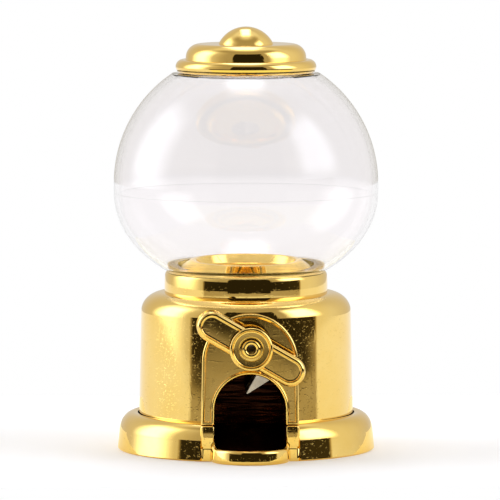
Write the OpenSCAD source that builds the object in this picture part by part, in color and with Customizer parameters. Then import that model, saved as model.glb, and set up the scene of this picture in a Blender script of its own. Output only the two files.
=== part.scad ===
// Small table-top gumball machine: a clear globe with a lift-off lid on a drum-shaped body,
// a wing crank that turns a swept two-blade wheel, and a scoop-shaped tray.
// Millimetres, +Z up, -Y is the front. The origin is the middle of the underside,
// on the globe's axis.

/* [Globe] */
// Outer radius of the globe at its widest
globe_r = 29.7; // [29.2:0.1:31]
// Wall thickness of the globe
globe_wall = 1.2; // [1:0.1:1.3]
// Height of the seam between the two halves
seam_z = 57.7; // [57:0.1:59]
// Height of the upper half's centre of curvature
upper_centre_z = 59.9; // [59.5:0.1:60.5]
// Height of the flat rim under the lid
globe_top_z = 84.7; // [84:0.1:85.2]
// Depth of the lower half's ellipse below the seam
lower_depth = 22; // [21.5:0.1:23]
// Radius of the filling hole
fill_r = 12.5; // [12.4:0.1:13]

/* [Lid] */
// Radius of the lid's domed tier
tier_r = 13.5; // [13.3:0.1:13.8]
// Radius of the tier's rounded shoulder
tier_round = 3; // [2.8:0.1:3.2]
// Height of the tier's flat top
tier_top_z = 91.15; // [91:0.05:91.4]
// Section radius of the rolled bead
bead_r = 1.6; // [1.4:0.1:1.7]
// Radius of the ball that the knob is cut from
knob_ball_r = 6.85; // [6.6:0.05:7.1]
// Overall height of the machine
overall_h = 95; // [94.8:0.1:96]

/* [Body] */
// Body radius at its foot
body_foot_r = 24.2; // [24:0.1:24.4]
// Body radius under the shoulder
body_top_r = 23.6; // [23.2:0.1:23.8]
// Radius of the shoulder
shoulder_r = 5; // [4.5:0.1:5.5]
// Height of the body's top
body_top_z = 35.4; // [35:0.1:35.6]
// Wall thickness of the body
body_wall = 1.3; // [1:0.1:1.5]

/* [Collar] */
// Collar radius at its foot
collar_foot_r = 18.35; // [18.2:0.05:18.6]
// Collar radius at its top
collar_top_r = 18.15; // [18.1:0.05:18.3]
// Height of the collar's top
collar_top_z = 40.4; // [40.2:0.1:40.6]

/* [Base] */
// Foot ring radius on the table
base_foot_r = 28.9; // [28.7:0.1:29.5]
// Foot ring radius where its bead starts
base_top_r = 28.5; // [28.3:0.1:28.7]
// Section radius of the foot ring's bead
base_bead_r = 3.3; // [3:0.1:3.5]
// Height of the bead's centre
base_bead_z = 5; // [4.8:0.1:5.2]
// Thickness of the bottom plate
plate_h = 1.6; // [1.4:0.1:1.8]

/* [Front plate] */
// Half the width of the arched front plate
bezel_half_w = 10.9; // [10.7:0.1:11]
// Height of the front plate's arch centre
bezel_arch_z = 21.75; // [21.5:0.05:22]
// Height of the front plate's foot
bezel_foot_z = 7.9; // [7.7:0.1:8.1]
// Distance from the machine's axis to the front plate's rim
bezel_reach = 25.4; // [25.3:0.1:25.8]
// Half the width of the mouth
mouth_half_w = 7.9; // [7.7:0.1:8.1]
// Height of the mouth's arch centre
mouth_arch_z = 11.2; // [11:0.1:11.4]

/* [Tray] */
// Radius of the tray's rounded front
tray_r = 9; // [8.8:0.1:9.2]
// Distance from the machine's axis to the tray's centre
tray_reach = 26; // [25.8:0.1:26.2]
// Height of the tray's front lip
lip_z = 3.2; // [3:0.1:3.5]
// Height of the tray's sides at the mouth
ear_z = 4.9; // [4.6:0.1:5.2]

/* [Crank] */
// Height of the crank's axis
shaft_z = 25.5; // [25.3:0.1:25.7]
// Radius of the shaft
shaft_r = 1.8; // [1.6:0.1:2]
// Radial running clearance of the shaft in its two bearings
shaft_gap = 0.06; // [0.02:0.01:0.1]
// Radius of the handle's hub ring
hub_r = 4.78; // [4.7:0.02:4.9]
// Radius of each wing's round end
wing_r = 3.4; // [3.2:0.1:3.6]
// Distance from the crank's axis to the centre of a wing's end
wing_reach = 9.95; // [9.8:0.05:10.1]
// Rest angle of the wings, clockwise from level
wing_angle = 30; // [20:1:40]

/* [Dispensing wheel] */
// Radius that the blade tips sweep
blade_r = 12.73; // [12.5:0.01:12.8]
// Radius of the wheel's core
core_r = 5.8; // [5.6:0.1:6]
// Width of the wheel from front to back
wheel_w = 11; // [10:0.5:11]
// Distance from the machine's axis to the wheel's front face
wheel_front = 8.5; // [8.3:0.1:8.7]

/* [Hidden] */
$fn = 96;

GOLD = [0.93, 0.76, 0.38];
CLEAR = [0.93, 0.94, 0.96, 0.35];
DARK = [0.12, 0.07, 0.04];
STEEL = [0.62, 0.62, 0.64];
IVORY = [0.86, 0.82, 0.72];

past = 1;                       // how far a cutter runs past the face it opens
inner_r = globe_r - globe_wall;

// lid
lid_foot_z = globe_top_z + 0.05;
bead_centre = [15.8 - bead_r, 86.05];
tier_wall = 1.1;
tier_centre = [tier_r - tier_round, tier_top_z - tier_round];
knob_centre_z = overall_h - knob_ball_r;
stud_r = 1.5;
stake_r = 2.4;
stake_h = 0.8;
liner_r = tier_r - tier_wall;
liner_wall = 1;
liner_drop = 0.8;               // how far the liner reaches into the filling hole
fill_tube_h = 1.8;
fill_tube_wall = 1;

// seat between the collar, the hopper and the globe's spigot
seat_h = 1;
seat_r = 14.6;
socket_r = 16.7;
spigot_wall = 1.2;
spigot_r = socket_r - 0.05;
hopper_flange_h = 0.8;
hopper_wall = 1;
hopper_r = spigot_r - spigot_wall - 0.15;
hopper_rim_z = collar_top_z + 0.6;
hopper_crest = [12, 42.4];
throat_r = 5.4;
throat_z = 39.6;
throat_y = wheel_w / 2 - wheel_front;
body_hole_r = 16.2;

// front plate
bezel_rim = 0.6;
bezel_recess = 0.5;
bezel_plate = 1.1;
bezel_skirt = 1.1;
bezel_depth = 8;
mouth_rim = 0.8;
bezel_back = bezel_reach - bezel_plate;
bezel_face = bezel_reach - bezel_recess;

// foot ring, jambs and bottom plate
groove_r = 24.6;
ring_wall = 1.2;
plate_r = base_foot_r - 1.3;
ring_cavity_top = 6.2;
jamb_half_w = 11.1;
jamb_reach = 26.6;
jamb_back = 22;
jamb_pocket = mouth_half_w + 1; // half width of the space behind the jambs for the chute

// tray and chute
tray_wall = 1.1;
tray_floor = 1.2;
tongue_half_w = mouth_half_w - 0.05;
chute_wall = 0.9;
chute_half_w = mouth_half_w + chute_wall;
chute_front_z = 2;
chute_back_z = 5.2;
chute_sheet = 0.9;
chute_heel_y = -12;
trough_wall_z = 10.5;

// wheel housing
cell_gap = 0.7;
cell_r = blade_r + 0.57;
cell_wall = 1.1;
cell_front = wheel_front + cell_gap;
cell_back = wheel_w - wheel_front + cell_gap;
cell_out_r = cell_r + cell_wall;
cell_top_z = throat_z - hopper_wall - 0.2;
cell_mouth_half_w = 6.65;
outlet_half_w = chute_half_w + 0.2;
outlet_z = 19.5;
leg_pocket_z = 12;
rear_boss_h = 1;
rear_boss_r = 3.4;
foot_boss = [16.4, -3];
foot_boss_r = 2.2;
foot_boss_h = 8;

// screws
screw_r = 1;
head_r = 2;
head_h = 0.9;
head_sink = 0.25;
recess_w = 0.5;
post_r = 2.4;
post_ring_r = 21;
post_h = 12;
POST_ANGLES = [90, 200, 340];

// crank, measured as distances forward of the machine's axis
hub_front = 33.5;
hub_back = 27.6;
wing_front = 32.7;
wing_back = 28.2;
wing_rim = 0.6;
wing_recess = 1.3;
hub_recess = 1.6;
shaft_front = 31.2;
shaft_rear = -6.9;
rivet_r = 1.25;
rivet_bore_r = 0.95;
rivet_boss_r = 2.2;
rivet_seat = 32.6;
rivet_head_r = 2.1;
rivet_len = 4.6;
bush_r = 4.4;
bush_round = 0.6;
bush_front = 27.2;
bush_tube_r = 3.2;
bush_tube_back = 20;
nut_r = 5.2;
nut_h = 2;
washer_h = 0.25;
washer_r = 4.2;
clip_r = 3;
clip_h = 0.8;
clip_front = -5.6;

// blade outline: the tip, the blade's back and its heel on the core
tip_angle = -92;
back_r = 10.55;
back_angle = -58;
heel_angle = -14;

// Points along a circle or an ellipse, about a centre, between two angles.
function arc(centre, radii, from, to, steps = 10) =
    [for (i = [0:steps]) let (a = from + (to - from) * i / steps)
        [centre[0] + radii[0] * cos(a), centre[1] + radii[1] * sin(a)]];
function round_arc(centre, radius, from, to, steps = 10) =
    arc(centre, [radius, radius], from, to, steps);
function polar(radius, angle) = [radius * cos(angle), radius * sin(angle)];

// Half outline of the solid body, inset by a wall, for turning about Z.
function body_outline(inset, foot_z) = concat(
    [[0, foot_z], [body_foot_r - inset, foot_z]],
    round_arc([body_top_r - shoulder_r, body_top_z - shoulder_r], shoulder_r - inset, 0, 90),
    [[0, body_top_z - inset]]);

module turned() {
    rotate_extrude() children();
}

// Extrudes an X-Z outline from a front face backwards; reach is the distance forward of the axis.
module front_slab(reach, depth) {
    translate([0, depth - reach, 0]) rotate([90, 0, 0]) linear_extrude(depth) children();
}

// The same, with the outline drawn about the crank's axis.
module crank_slab(reach, depth) {
    front_slab(reach, depth) translate([0, shaft_z]) children();
}

// Turns a radius-height outline about the crank's axis; heights grow towards the front.
module crank_turned(reach) {
    translate([0, -reach, shaft_z]) rotate([90, 0, 0]) rotate_extrude() children();
}

module arch(half_w, arch_z, foot_z) {
    translate([-half_w, foot_z]) square([2 * half_w, arch_z - foot_z]);
    translate([0, arch_z]) circle(r = half_w);
}

module wings(radius) {
    for (side = [-1, 1]) translate([side * wing_reach, 0]) circle(r = radius);
    translate([-wing_reach, -radius]) square([2 * wing_reach, 2 * radius]);
}

// A countersunk pan-head screw that points up, with a cross recess.
module screw(length) {
    difference() {
        union() {
            translate([0, 0, head_sink]) cylinder(r = head_r, h = head_h);
            translate([0, 0, head_sink]) cylinder(r = screw_r, h = length);
        }
        for (turn = [0, 90]) rotate(turn) translate([-head_r * 0.6, -recess_w / 2, 0])
            cube([head_r * 1.2, recess_w, head_sink + recess_w]);
    }
}

module screw_hole() {
    translate([0, 0, -past]) cylinder(r = head_r + 0.1, h = past + head_sink + head_h);
    translate([0, 0, -past]) cylinder(r = screw_r, h = plate_h + 2 * past);
}

module post_places() {
    for (a = POST_ANGLES) translate([post_ring_r * cos(a), post_ring_r * sin(a), 0]) children();
}

module foot_places() {
    for (side = [-1, 1]) translate([side * foot_boss[0], foot_boss[1], 0]) children();
}

module lid_shell() {
    bead_start = asin((lid_foot_z - bead_centre[1]) / bead_r);
    bead_end = acos((tier_r - 0.05 - bead_centre[0]) / bead_r);
    color(GOLD) difference() {
        turned() difference() {
            polygon(concat([[0, lid_foot_z]],
                round_arc(bead_centre, bead_r, bead_start, bead_end, 14),
                round_arc(tier_centre, tier_round, 8, 90), [[0, tier_top_z]]));
            polygon(concat([[0, lid_foot_z - past], [liner_r, lid_foot_z - past]],
                round_arc(tier_centre, tier_round - tier_wall, 0, 90),
                [[0, tier_top_z - tier_wall]]));
        }
        translate([0, 0, tier_top_z - 2 * tier_wall]) cylinder(r = stud_r, h = 3 * tier_wall);
    }
}

module lid_knob() {
    roof_z = tier_top_z - tier_wall;
    color(GOLD) {
        intersection() {
            translate([0, 0, knob_centre_z]) sphere(r = knob_ball_r);
            translate([0, 0, tier_top_z]) cylinder(r = knob_ball_r, h = knob_ball_r);
        }
        translate([0, 0, roof_z - stake_h]) cylinder(r = stud_r, h = tier_wall + 2 * stake_h);
        translate([0, 0, roof_z - stake_h]) cylinder(r = stake_r, h = stake_h);
    }
}

module lid_liner() {
    neck_r = fill_r - 0.3;
    foot_z = globe_top_z - liner_drop;
    color(CLEAR) turned() polygon([
        [liner_r - liner_wall, foot_z], [neck_r, foot_z], [neck_r, lid_foot_z],
        [liner_r, lid_foot_z], [liner_r, tier_centre[1]], [liner_r - liner_wall, tier_centre[1]]]);
}

module globe_upper() {
    centre = [0, upper_centre_z];
    rim_in_z = globe_top_z - globe_wall;
    tube_z = globe_top_z - fill_tube_h;
    top_angle = asin((globe_top_z - upper_centre_z) / globe_r);
    inner_angle = asin((rim_in_z - upper_centre_z) / inner_r);
    color(CLEAR) turned() polygon(concat(
        [[globe_r, seam_z]],
        round_arc(centre, globe_r, 0, top_angle, 20),
        [[fill_r, globe_top_z], [fill_r, tube_z], [fill_r + fill_tube_wall, tube_z],
            [fill_r + fill_tube_wall, rim_in_z]],
        round_arc(centre, inner_r, inner_angle, 0, 20),
        [[inner_r, seam_z]]));
}

module globe_lower() {
    centre = [0, seam_z];
    radii = [globe_r, lower_depth];
    inner_radii = [inner_r, lower_depth - globe_wall];
    out_angle = -asin((seam_z - collar_top_z) / radii[1]);
    in_angle = -asin((seam_z - collar_top_z - globe_wall) / inner_radii[1]);
    spigot_foot = body_top_z + seat_h + hopper_flange_h;
    lip = 0.8;
    lip_h = 1.5;
    lip_root = -10;
    color(CLEAR) turned() polygon(concat(
        [[spigot_r - spigot_wall, spigot_foot], [spigot_r, spigot_foot], [spigot_r, collar_top_z]],
        arc(centre, radii, out_angle, 0, 20),
        [[inner_r, seam_z], [inner_r, seam_z + lip_h], [inner_r - lip, seam_z + lip_h],
            [inner_r - lip, seam_z]],
        arc(centre, inner_radii, lip_root, in_angle, 18),
        [[spigot_r - spigot_wall, hopper_rim_z + 0.3]]));
}

module neck_collar() {
    top_round = 1.4;
    color(GOLD) turned() polygon(concat(
        [[seat_r, body_top_z], [collar_foot_r, body_top_z]],
        round_arc([collar_top_r - top_round, collar_top_z - top_round], top_round, 0, 90, 6),
        [[socket_r, collar_top_z], [socket_r, body_top_z + seat_h], [seat_r, body_top_z + seat_h]]));
}

module hopper() {
    foot_z = body_top_z + seat_h;
    flange_z = foot_z + hopper_flange_h;
    crest_r = hopper_crest[0];
    crest_z = hopper_crest[1];
    color(GOLD) difference() {
        turned() polygon([
            [hopper_r - hopper_wall, foot_z], [socket_r, foot_z], [socket_r, flange_z],
            [hopper_r, flange_z], [hopper_r, hopper_rim_z], [crest_r + 0.6, crest_z],
            [crest_r - 0.6, crest_z], [throat_r, throat_z], [0, throat_z],
            [0, throat_z - hopper_wall], [throat_r, throat_z - hopper_wall],
            [crest_r - 0.3, crest_z - hopper_wall], [crest_r + 0.2, crest_z - hopper_wall],
            [hopper_r - hopper_wall, hopper_rim_z - 0.5]]);
        translate([0, throat_y, throat_z - 3 * hopper_wall]) cylinder(r = throat_r, h = 10);
    }
}

module body_shell() {
    cut = bezel_half_w - bezel_skirt;
    color(GOLD) difference() {
        union() {
            difference() {
                turned() polygon(body_outline(0, plate_h));
                turned() polygon(body_outline(body_wall, plate_h - past));
            }
            translate([0, 0, plate_h]) post_places() cylinder(r = post_r, h = post_h);
        }
        translate([0, 0, body_top_z - 2 * body_wall]) cylinder(r = body_hole_r, h = 3 * body_wall);
        front_slab(bezel_reach + past, bezel_depth) arch(cut, bezel_arch_z, plate_h - past);
        post_places() cylinder(r = screw_r, h = post_h);
    }
}

module front_bezel() {
    rim_half_w = bezel_half_w - bezel_rim;
    color(GOLD) difference() {
        front_slab(bezel_reach, bezel_depth) arch(bezel_half_w, bezel_arch_z, bezel_foot_z);
        front_slab(bezel_back, bezel_depth)
            arch(bezel_half_w - bezel_skirt, bezel_arch_z, bezel_foot_z - past);
        front_slab(bezel_reach + past, past + bezel_recess) difference() {
            arch(rim_half_w, bezel_arch_z, bezel_foot_z + bezel_rim);
            arch(mouth_half_w + mouth_rim, mouth_arch_z, 0);
        }
        front_slab(bezel_reach + past, bezel_depth)
            arch(mouth_half_w, mouth_arch_z, bezel_foot_z - past);
        crank_slab(bezel_reach + past, bezel_depth) circle(r = bush_tube_r);
        turned() polygon(body_outline(0, plate_h));
    }
}

module shaft_bush() {
    bore_r = shaft_r + shaft_gap;
    flange_h = bush_front - bezel_face;
    color(GOLD) crank_turned(bezel_face) polygon(concat(
        [[bore_r, bush_tube_back - bezel_face], [bush_tube_r, bush_tube_back - bezel_face],
            [bush_tube_r, 0], [bush_r, 0]],
        round_arc([bush_r - bush_round, flange_h - bush_round], bush_round, 0, 90, 6),
        [[bore_r, flange_h]]));
}

module bush_nut() {
    color(STEEL) crank_slab(bezel_back, nut_h) difference() {
        circle(r = nut_r, $fn = 6);
        circle(r = bush_tube_r);
    }
}

module wheel_housing() {
    front = cell_front + cell_wall;
    depth = cell_front + cell_back + 2 * cell_wall;
    cell_depth = cell_front + cell_back;
    leg_w = cell_r - outlet_half_w - cell_wall;
    leg_x = (outlet_half_w + cell_r + cell_wall) / 2;
    color(DARK) difference() {
        union() {
            crank_slab(front, depth) circle(r = cell_out_r);
            front_slab(front, depth) translate([-cell_out_r, plate_h])
                square([2 * cell_out_r, shaft_z - plate_h]);
            crank_slab(-cell_back, cell_wall + rear_boss_h) circle(r = rear_boss_r);
            translate([0, 0, plate_h]) foot_places() cylinder(r = foot_boss_r, h = foot_boss_h);
        }
        crank_slab(cell_front, cell_depth) circle(r = cell_r);
        front_slab(front + past, cell_depth + cell_wall + past)
            translate([-outlet_half_w, 0]) square([2 * outlet_half_w, outlet_z]);
        front_slab(cell_front, cell_depth)
            translate([-cell_mouth_half_w, shaft_z])
                square([2 * cell_mouth_half_w, cell_out_r + past]);
        front_slab(front + past, depth + 2 * past) translate([-cell_out_r, cell_top_z])
            square([2 * cell_out_r, cell_out_r]);
        for (side = [-1, 1]) translate([side * leg_x, 0]) front_slab(cell_front, cell_depth)
            translate([-leg_w / 2, 0]) square([leg_w, leg_pocket_z]);
        crank_slab(front + past, cell_wall + 2 * past) circle(r = shaft_r + 0.6);
        crank_slab(past - cell_back, cell_wall + rear_boss_h + 2 * past)
            circle(r = shaft_r + shaft_gap);
        foot_places() cylinder(r = screw_r, h = foot_boss_h);
    }
}

module chute_liner() {
    tunnel = bezel_back - cell_front - cell_wall;
    color(DARK) {
        front_slab(bezel_back, tunnel) difference() {
            arch(chute_half_w, mouth_arch_z, plate_h);
            arch(mouth_half_w, mouth_arch_z, plate_h);
        }
        for (side = [-1, 1]) translate([side * (mouth_half_w + chute_wall / 2), 0])
            front_slab(bezel_back, bezel_back + cell_back)
                translate([-chute_wall / 2, plate_h]) square([chute_wall, trough_wall_z - plate_h]);
        rotate([90, 0, 90]) translate([0, 0, -mouth_half_w]) linear_extrude(2 * mouth_half_w)
            polygon([[-bezel_back, plate_h], [-bezel_back, chute_front_z],
                [cell_back, chute_back_z],
                [cell_back, chute_back_z - chute_sheet], [chute_heel_y, plate_h]]);
    }
}

module tray_outline(radius) {
    intersection() {
        translate([0, -tray_reach]) circle(r = radius);
        translate([-tray_r, -2 * tray_reach]) square([2 * tray_r, 2 * tray_reach - jamb_reach]);
    }
}

module dispensing_tray() {
    front = tray_reach + tray_r;
    color(GOLD) {
        difference() {
            linear_extrude(ear_z) tray_outline(tray_r);
            translate([0, 0, tray_floor]) linear_extrude(ear_z) {
                tray_outline(tray_r - tray_wall);
                translate([-(tray_r - tray_wall), -jamb_reach - past / 2])
                    square([2 * (tray_r - tray_wall), past]);
            }
            rotate([90, 0, 90]) translate([0, 0, -tray_r - past]) linear_extrude(2 * tray_r + 2 * past)
                polygon([[-front - past, lip_z], [-front, lip_z], [-jamb_reach, ear_z],
                    [-jamb_reach, ear_z + past], [-front - past, ear_z + past]]);
        }
        rotate([90, 0, 90]) translate([0, 0, -tongue_half_w]) linear_extrude(2 * tongue_half_w)
            polygon([[-jamb_reach, 0], [-jamb_reach, tray_floor + 0.3], [-bezel_back, chute_front_z],
                [-bezel_back, plate_h], [-jamb_back, plate_h], [-jamb_back, 0]]);
    }
}

module base_ring() {
    bead = [base_top_r - base_bead_r, base_bead_z];
    color(GOLD) {
        difference() {
            turned() difference() {
                polygon(concat([[groove_r, 0], [base_foot_r, 0]],
                    round_arc(bead, base_bead_r, 0, 105, 14),
                    [[groove_r, base_bead_z + base_bead_r - 0.9]]));
                polygon([[groove_r + ring_wall, -past], [plate_r, -past],
                    [plate_r - 0.3, base_bead_z], [plate_r - 1.6, ring_cavity_top],
                    [groove_r + ring_wall, ring_cavity_top]]);
                translate([0, -past]) square([plate_r, plate_h + past]);
            }
            translate([-jamb_half_w, -2 * base_foot_r, -past])
                cube([2 * jamb_half_w, 2 * base_foot_r, 2 * base_foot_r]);
        }
        difference() {
            front_slab(jamb_reach, jamb_reach - jamb_back) difference() {
                translate([-jamb_half_w, 0]) square([2 * jamb_half_w, bezel_foot_z]);
                translate([-mouth_half_w, -past]) square([2 * mouth_half_w, bezel_foot_z + 2 * past]);
            }
            translate([-jamb_pocket, -bezel_back, -past])
                cube([2 * jamb_pocket, bezel_back, bezel_foot_z + 2 * past]);
            translate([0, 0, plate_h]) cylinder(r = groove_r, h = bezel_foot_z);
        }
    }
}

module base_plate() {
    color(GOLD) difference() {
        cylinder(r = plate_r, h = plate_h);
        translate([-jamb_half_w, -jamb_back - base_foot_r, -past])
            cube([2 * jamb_half_w, base_foot_r, plate_h + 2 * past]);
        post_places() screw_hole();
        foot_places() screw_hole();
    }
}

module base_screws() {
    color(STEEL) post_places() screw(9);
}

module housing_screws() {
    color(STEEL) foot_places() screw(7);
}

module turn_handle() {
    color(GOLD) translate([0, 0, shaft_z]) rotate([0, wing_angle, 0]) translate([0, 0, -shaft_z])
        difference() {
            union() {
                crank_slab(wing_front, wing_front - wing_back) wings(wing_r);
                crank_slab(hub_front, hub_front - hub_back) circle(r = hub_r);
            }
            crank_slab(wing_front, wing_recess) difference() {
                wings(wing_r - wing_rim);
                circle(r = hub_r);
            }
            crank_slab(wing_back + 2, 2 + past) difference() {
                wings(wing_r - wing_rim);
                circle(r = hub_r);
            }
            crank_slab(hub_front + past, hub_recess + past) difference() {
                circle(r = hub_r - wing_rim);
                circle(r = rivet_boss_r);
            }
            crank_slab(hub_front + past, hub_front - rivet_seat + past) circle(r = rivet_boss_r);
            crank_slab(hub_front, hub_front - hub_back + past) circle(r = rivet_r);
            crank_slab(shaft_front, shaft_front - hub_back + past) circle(r = shaft_r);
        }
}

module handle_rivet() {
    mid_r = (rivet_head_r + rivet_bore_r) / 2;
    color(GOLD) crank_turned(rivet_seat) polygon(concat(
        [[rivet_bore_r, -rivet_len], [rivet_r, -rivet_len], [rivet_r, 0]],
        arc([mid_r, 0], [mid_r - rivet_bore_r, 0.5], 0, 180, 10)));
}

module crank_shaft() {
    color(STEEL) difference() {
        crank_slab(shaft_front, shaft_front - shaft_rear) circle(r = shaft_r);
        crank_slab(shaft_front + past, rivet_len + past) circle(r = rivet_r);
    }
}

module crank_washer() {
    color(STEEL) crank_slab((bush_front + hub_back + washer_h) / 2, washer_h) difference() {
        circle(r = washer_r);
        circle(r = shaft_r);
    }
}

module dispensing_wheel() {
    tip = polar(blade_r, tip_angle);
    root = polar(core_r, back_angle + 29);
    color(IVORY) crank_slab(wheel_front, wheel_w) difference() {
        union() {
            circle(r = core_r);
            for (turn = [0, 180]) rotate(turn) polygon(concat(
                [tip], round_arc([0, 0], back_r, back_angle, heel_angle, 8),
                [polar(core_r, heel_angle + 20), [0, 0], root]));
        }
        circle(r = shaft_r);
    }
}

module shaft_clip() {
    color(STEEL) crank_slab(clip_front, clip_h) difference() {
        circle(r = clip_r);
        circle(r = shaft_r);
    }
}

lid_shell();
lid_knob();
lid_liner();
globe_upper();
globe_lower();
neck_collar();
hopper();
body_shell();
front_bezel();
shaft_bush();
bush_nut();
wheel_housing();
chute_liner();
dispensing_tray();
base_ring();
base_plate();
base_screws();
housing_screws();
turn_handle();
handle_rivet();
crank_shaft();
crank_washer();
dispensing_wheel();
shaft_clip();
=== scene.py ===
"""A small gold gumball machine with an empty clear globe, on a pale floor in soft studio light.

Every shape is worked out in millimetres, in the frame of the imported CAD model, and turned into
metres when its mesh is made.
"""
from math import acos, asin, atan2, ceil, cos, degrees, pi, radians, sin, tan

import bmesh
import bpy
from mathutils import Matrix, Vector


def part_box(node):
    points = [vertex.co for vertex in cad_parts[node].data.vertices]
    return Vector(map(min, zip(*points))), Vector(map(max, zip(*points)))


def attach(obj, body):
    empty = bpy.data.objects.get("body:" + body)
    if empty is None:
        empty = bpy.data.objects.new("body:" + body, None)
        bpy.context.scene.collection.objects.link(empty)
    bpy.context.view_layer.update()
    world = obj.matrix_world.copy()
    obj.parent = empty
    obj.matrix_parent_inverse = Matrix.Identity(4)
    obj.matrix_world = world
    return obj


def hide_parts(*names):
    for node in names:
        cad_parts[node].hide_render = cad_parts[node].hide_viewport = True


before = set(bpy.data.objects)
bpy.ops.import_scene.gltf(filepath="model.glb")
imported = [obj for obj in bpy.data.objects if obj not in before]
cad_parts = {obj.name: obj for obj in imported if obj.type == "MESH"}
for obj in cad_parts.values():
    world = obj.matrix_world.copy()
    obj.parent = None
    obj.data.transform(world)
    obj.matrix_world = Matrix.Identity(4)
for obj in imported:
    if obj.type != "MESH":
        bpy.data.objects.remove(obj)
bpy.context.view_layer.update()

MM = 0.001
SEGMENTS = 192
ARC_STEP = 7.0


def span(node):
    """Lowest and highest corner of a CAD node, in millimetres."""
    low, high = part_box(node)
    return low / MM, high / MM


# ---------------------------------------------------------------- outlines

def polar(radius, angle):
    """A point from its distance and its angle in degrees."""
    return (radius * cos(radians(angle)), radius * sin(radians(angle)))


def arc(centre, radii, start, stop, steps=0):
    """Points along a circle, or an ellipse where radii is a pair, between two angles in degrees."""
    across, up = radii if isinstance(radii, tuple) else (radii, radii)
    steps = steps or max(2, ceil(abs(stop - start) / ARC_STEP))
    angles = [radians(start + (stop - start) * i / steps) for i in range(steps + 1)]
    return [(centre[0] + across * cos(a), centre[1] + up * sin(a)) for a in angles]


def rounded(corners, closed=True, steps=0):
    """An outline from corners; a corner with a third number is rounded to that radius."""
    points = []
    for i, corner in enumerate(corners):
        here = Vector(corner[:2])
        at_end = not closed and i in (0, len(corners) - 1)
        if len(corner) < 3 or at_end:
            points.append(tuple(here))
            continue
        radius = corner[2]
        back = (Vector(corners[i - 1][:2]) - here).normalized()
        onward = (Vector(corners[(i + 1) % len(corners)][:2]) - here).normalized()
        half = back.angle(onward) / 2
        centre = here + (back + onward).normalized() * radius / sin(half)
        first = here + back * radius / tan(half) - centre
        last = here + onward * radius / tan(half) - centre
        turn = degrees(atan2(first.cross(last), first.dot(last)))
        begin = degrees(atan2(first.y, first.x))
        points += arc(centre, radius, begin, begin + turn, steps)
    return points


def densify(points, longest, closed=True):
    """The same outline with extra points, so that no stretch is longer than the limit."""
    dense = []
    count = len(points) if closed else len(points) - 1
    for i in range(count):
        a = Vector(points[i])
        b = Vector(points[(i + 1) % len(points)])
        steps = max(1, ceil((b - a).length / longest))
        dense += [tuple(a.lerp(b, k / steps)) for k in range(steps)]
    return dense if closed else dense + [tuple(points[-1])]


# ---------------------------------------------------------------- solids

def loft(loops, ring=False):
    """A closed surface through loops of equally many points; a ring's last loop meets its first."""
    solid = bmesh.new()
    rows = [[solid.verts.new(point) for point in loop] for loop in loops]
    pairs = list(zip(rows, rows[1:])) + ([(rows[-1], rows[0])] if ring else [])
    for row, after in pairs:
        for j in range(len(row)):
            k = (j + 1) % len(row)
            solid.faces.new((row[j], row[k], after[k], after[j]))
    if not ring:
        solid.faces.new(rows[0])
        solid.faces.new(reversed(rows[-1]))
    return cleaned(solid)


def cleaned(solid):
    """Welds doubled points, drops slivers and turns every face outwards."""
    bmesh.ops.remove_doubles(solid, verts=solid.verts, dist=1e-4)
    bmesh.ops.dissolve_degenerate(solid, edges=solid.edges, dist=1e-5)
    bmesh.ops.recalc_face_normals(solid, faces=solid.faces)
    return solid


def lathe(profile, start=0.0, stop=360.0, segments=SEGMENTS):
    """Turns a closed (radius, height) outline about Z, all the way round or between two angles."""
    whole = stop - start >= 360
    loops = []
    for i in range(segments if whole else segments + 1):
        a = radians(start + (stop - start) * i / segments)
        loops.append([(r * cos(a), r * sin(a), z) for r, z in profile])
    return loft(loops, ring=whole)


def slab(outline, front, back):
    """An X-Z outline drawn out between two places along Y."""
    return loft([[(x, y, z) for x, z in outline] for y in (front, back)])


def joined(*solids):
    """Several closed solids as one mesh."""
    whole = solids[0]
    for other in solids[1:]:
        mesh = bpy.data.meshes.new("part")
        other.to_mesh(mesh)
        other.free()
        whole.from_mesh(mesh)
        bpy.data.meshes.remove(mesh)
    return whole


def moved(solid, matrix):
    """The same solid in another place."""
    bmesh.ops.transform(solid, matrix=matrix, verts=solid.verts)
    return solid


def scratch(solid, name):
    """A short-lived object for a modifier to work on."""
    mesh = bpy.data.meshes.new(name)
    solid.to_mesh(mesh)
    solid.free()
    thing = bpy.data.objects.new(name, mesh)
    bpy.context.scene.collection.objects.link(thing)
    return thing


def carved(base, tool, operation="DIFFERENCE"):
    """The Boolean of two solids, as a solid."""
    base_object = scratch(base, "base")
    tool_object = scratch(tool, "tool")
    modifier = base_object.modifiers.new("carve", "BOOLEAN")
    modifier.operation = operation
    modifier.solver = "EXACT"
    modifier.object = tool_object
    graph = bpy.context.evaluated_depsgraph_get()
    mesh = bpy.data.meshes.new_from_object(base_object.evaluated_get(graph))
    result = bmesh.new()
    result.from_mesh(mesh)
    for thing in (base_object, tool_object):
        spare = thing.data
        bpy.data.objects.remove(thing)
        bpy.data.meshes.remove(spare)
    bpy.data.meshes.remove(mesh)
    return result


def piece(name, solid, material, body, nodes, bevel=0.0, sharp=34.0):
    """Makes one named object from a solid; it rides on a body and stands for its CAD nodes."""
    moved(solid, Matrix.Scale(MM, 4))
    mesh = bpy.data.meshes.new(name)
    solid.to_mesh(mesh)
    solid.free()
    mesh.polygons.foreach_set("use_smooth", [True] * len(mesh.polygons))
    mesh.set_sharp_from_angle(angle=radians(sharp))
    mesh.materials.append(material)
    thing = bpy.data.objects.new(name, mesh)
    bpy.context.scene.collection.objects.link(thing)
    if bevel:
        rounding = thing.modifiers.new("edges", "BEVEL")
        rounding.width = bevel * MM
        rounding.segments = 4
        rounding.limit_method = "ANGLE"
        rounding.angle_limit = radians(sharp)
        rounding.harden_normals = True
    weighted = thing.modifiers.new("normals", "WEIGHTED_NORMAL")
    weighted.keep_sharp = True
    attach(thing, body)
    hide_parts(*nodes)
    return thing


# ---------------------------------------------------------------- material helpers

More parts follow.
